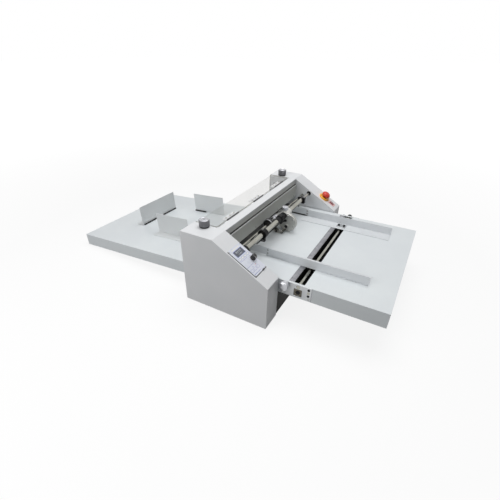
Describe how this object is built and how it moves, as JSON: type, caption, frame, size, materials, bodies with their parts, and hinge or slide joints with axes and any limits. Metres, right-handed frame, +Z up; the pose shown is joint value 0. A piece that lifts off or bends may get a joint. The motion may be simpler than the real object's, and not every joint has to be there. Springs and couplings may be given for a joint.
{
  "type": "desktop paper creasing machine",
  "caption": "Desktop paper creasing machine: two sloped housings joined by a beam, a feed table with side guides, a feed head, creasing shafts under a clear hinged cover, and a delivery table.",
  "frame": {"origin": "on the desk, under the middle of the machine's whole length and width", "axes": "+X the operator's right, +Y the way the sheet travels from the feed table to the delivery table, +Z up"},
  "size_m": [0.7, 1.245, 0.291],
  "materials": {
    "housing_paint": "satin powder coat",
    "table_paint": "satin powder coat",
    "guide_paint": "satin powder coat",
    "stop_paint": "satin powder coat",
    "grey_panel": "matt paint",
    "dark_paint": "matt paint",
    "black_paint": "matt paint",
    "zinc_sheet": "zinc plate",
    "aluminium": "brushed",
    "knob_aluminium": "knurled side, turned top",
    "head_casting": "cast and machined",
    "motor_casting": "painted casting",
    "chrome": "hard chrome",
    "steel": "ground",
    "black_steel": "blackened",
    "rubber": "matt",
    "roller_rubber": "ground rubber",
    "panel_film": "printed film",
    "black_plastic": "moulded",
    "yellow_plastic": "moulded",
    "red_plastic": "moulded",
    "pink_plastic": "moulded",
    "rocker_plastic": "moulded",
    "circuit_board": "solder mask",
    "clear_acrylic": "clear, faintly tinted"
  },
  "bodies": {
    "frame": {"left_housing": "housing_paint", "right_housing": "housing_paint", "inner_covers": "housing_paint", "side_frames": "dark_paint", "base_tray": "dark_paint", "front_apron": "black_paint", "beam_core": "dark_paint", "beam_top_cover": "housing_paint", "beam_front_panel": "grey_panel", "rubber_feet": "rubber", "feed_table": "table_paint", "delivery_table": "table_paint", "table_bottom_plates": "zinc_sheet", "slot_channel": "black_paint", "slot_scale": "aluminium", "guide_rod": "chrome", "slot_end_plates": "aluminium", "feed_bar": "chrome", "bar_end_collars": "black_steel", "shaft_bearings": "steel", "drive_motor": "motor_casting", "drive_belts": "rubber", "cover_hinge_leaves": "black_steel", "control_panel": "panel_film", "stop_base": "yellow_plastic", "switch_bezel": "pink_plastic", "power_inlet": "black_plastic", "control_electronics": "circuit_board"},
    "cover": {"clear_cover": "clear_acrylic", "cover_hinge_arms": "black_steel"},
    "left_guide": {"left_side_guide": "guide_paint", "left_guide_carriage": "black_plastic"},
    "right_guide": {"right_side_guide": "guide_paint", "right_guide_carriage": "black_plastic"},
    "register_knob": {"register_knob": "aluminium"},
    "guide_lock_knob": {"guide_lock_knob": "black_plastic"},
    "bar_clamp": {"bar_clamp": "black_steel"},
    "feed_head": {"feed_head": "head_casting", "separator_plate": "chrome", "head_belt": "rubber"},
    "clutch_hub": {"clutch_hub": "aluminium"},
    "pickup_roller": {"pickup_roller": "roller_rubber"},
    "thumb_knob": {"head_thumb_knob": "aluminium"},
    "feed_shaft": {"feed_shaft": "chrome", "feed_wheel": "black_plastic"},
    "upper_shaft": {"upper_crease_shaft": "steel", "crease_disc": "steel", "upper_pull_rollers": "roller_rubber"},
    "lower_shaft": {"lower_crease_shaft": "steel", "crease_ring": "steel", "lower_pull_rollers": "roller_rubber"},
    "motor_rotor": {"motor_pulley": "aluminium"},
    "left_pressure_knob": {"left_pressure_knob": "knob_aluminium"},
    "right_pressure_knob": {"right_pressure_knob": "knob_aluminium"},
    "speed_knob": {"speed_knob": "black_plastic"},
    "stop_button": {"stop_button": "red_plastic"},
    "power_rocker": {"power_rocker": "rocker_plastic"},
    "rear_stop": {"rear_stop": "stop_paint"},
    "left_stop": {"left_stop": "stop_paint"},
    "right_stop": {"right_stop": "stop_paint"}
  },
  "joints": [
    {"name": "cover_hinge", "type": "hinge", "parent": "frame", "child": "cover", "pos_m": [0, -0.0815, 0.2655], "axis": [1, 0, 0], "range_deg": [0, 100]},
    {"name": "left_guide_slide", "type": "slide", "parent": "frame", "child": "left_guide", "axis": [1, 0, 0], "range_m": [-0.075, 0.055]},
    {"name": "right_guide_slide", "type": "slide", "parent": "frame", "child": "right_guide", "axis": [1, 0, 0], "range_m": [-0.06, 0.075]},
    {"name": "register_turn", "type": "hinge", "parent": "frame", "child": "register_knob", "pos_m": [-0.288, -0.3235, 0.14], "axis": [1, 0, 0], "range_deg": [-180, 180]},
    {"name": "guide_lock_turn", "type": "hinge", "parent": "frame", "child": "guide_lock_knob", "pos_m": [0.285, -0.365, 0.141], "axis": [1, 0, 0], "range_deg": [0, 180]},
    {"name": "bar_clamp_slide", "type": "slide", "parent": "frame", "child": "bar_clamp", "axis": [1, 0, 0], "range_m": [-0.09, 0.07]},
    {"name": "feed_head_slide", "type": "slide", "parent": "frame", "child": "feed_head", "axis": [1, 0, 0], "range_m": [-0.02, 0.055]},
    {"name": "clutch_spin", "type": "hinge", "parent": "feed_head", "child": "clutch_hub", "pos_m": [0, -0.1515, 0.199], "axis": [1, 0, 0], "continuous": true},
    {"name": "pickup_spin", "type": "hinge", "parent": "feed_head", "child": "pickup_roller", "pos_m": [0.0375, -0.1935, 0.17], "axis": [1, 0, 0], "continuous": true},
    {"name": "thumb_turn", "type": "hinge", "parent": "feed_head", "child": "thumb_knob", "pos_m": [0.027, -0.1795, 0.237], "axis": [0, 0, 1], "range_deg": [0, 270]},
    {"name": "feed_shaft_spin", "type": "hinge", "parent": "frame", "child": "feed_shaft", "pos_m": [0, -0.1515, 0.199], "axis": [1, 0, 0], "continuous": true},
    {"name": "upper_shaft_spin", "type": "hinge", "parent": "frame", "child": "upper_shaft", "pos_m": [0, -0.0445, 0.18], "axis": [1, 0, 0], "continuous": true},
    {"name": "lower_shaft_spin", "type": "hinge", "parent": "frame", "child": "lower_shaft", "pos_m": [0, -0.0445, 0.12], "axis": [1, 0, 0], "continuous": true},
    {"name": "motor_spin", "type": "hinge", "parent": "frame", "child": "motor_rotor", "pos_m": [0.3, -0.1915, 0.05], "axis": [1, 0, 0], "continuous": true},
    {"name": "left_pressure_turn", "type": "hinge", "parent": "frame", "child": "left_pressure_knob", "pos_m": [-0.2896, -0.0445, 0.278], "axis": [0, 0, 1], "range_deg": [-180, 180]},
    {"name": "right_pressure_turn", "type": "hinge", "parent": "frame", "child": "right_pressure_knob", "pos_m": [0.2896, -0.0445, 0.278], "axis": [0, 0, 1], "range_deg": [-180, 180]},
    {"name": "speed_turn", "type": "hinge", "parent": "frame", "child": "speed_knob", "pos_m": [-0.2917, -0.21845, 0.20415], "axis": [0, -0.5016, 0.8651], "range_deg": [-270, 0]},
    {"name": "stop_press", "type": "slide", "parent": "frame", "child": "stop_button", "axis": [0, 0.5016, -0.8651], "range_m": [0, 0.005]},
    {"name": "power_switch", "type": "hinge", "parent": "frame", "child": "power_rocker", "pos_m": [0.314, -0.27468, 0.17155], "axis": [1, 0, 0], "range_deg": [-16, 0]},
    {"name": "rear_stop_slide", "type": "slide", "parent": "frame", "child": "rear_stop", "axis": [0, 0.9978, -0.0656], "range_m": [-0.25, 0.1]},
    {"name": "left_stop_slide", "type": "slide", "parent": "frame", "child": "left_stop", "axis": [1, 0, 0], "range_m": [-0.09, 0.008]},
    {"name": "right_stop_slide", "type": "slide", "parent": "frame", "child": "right_stop", "axis": [1, 0, 0], "range_m": [-0.008, 0.085]}
  ],
  "couplings": [
    {"joint": "upper_shaft_spin", "follows": "lower_shaft_spin", "ratio": -1},
    {"joint": "feed_shaft_spin", "follows": "lower_shaft_spin", "ratio": -1},
    {"joint": "clutch_spin", "follows": "lower_shaft_spin", "ratio": -1},
    {"joint": "pickup_spin", "follows": "lower_shaft_spin", "ratio": -1},
    {"joint": "motor_spin", "follows": "lower_shaft_spin", "ratio": 2}
  ]
}
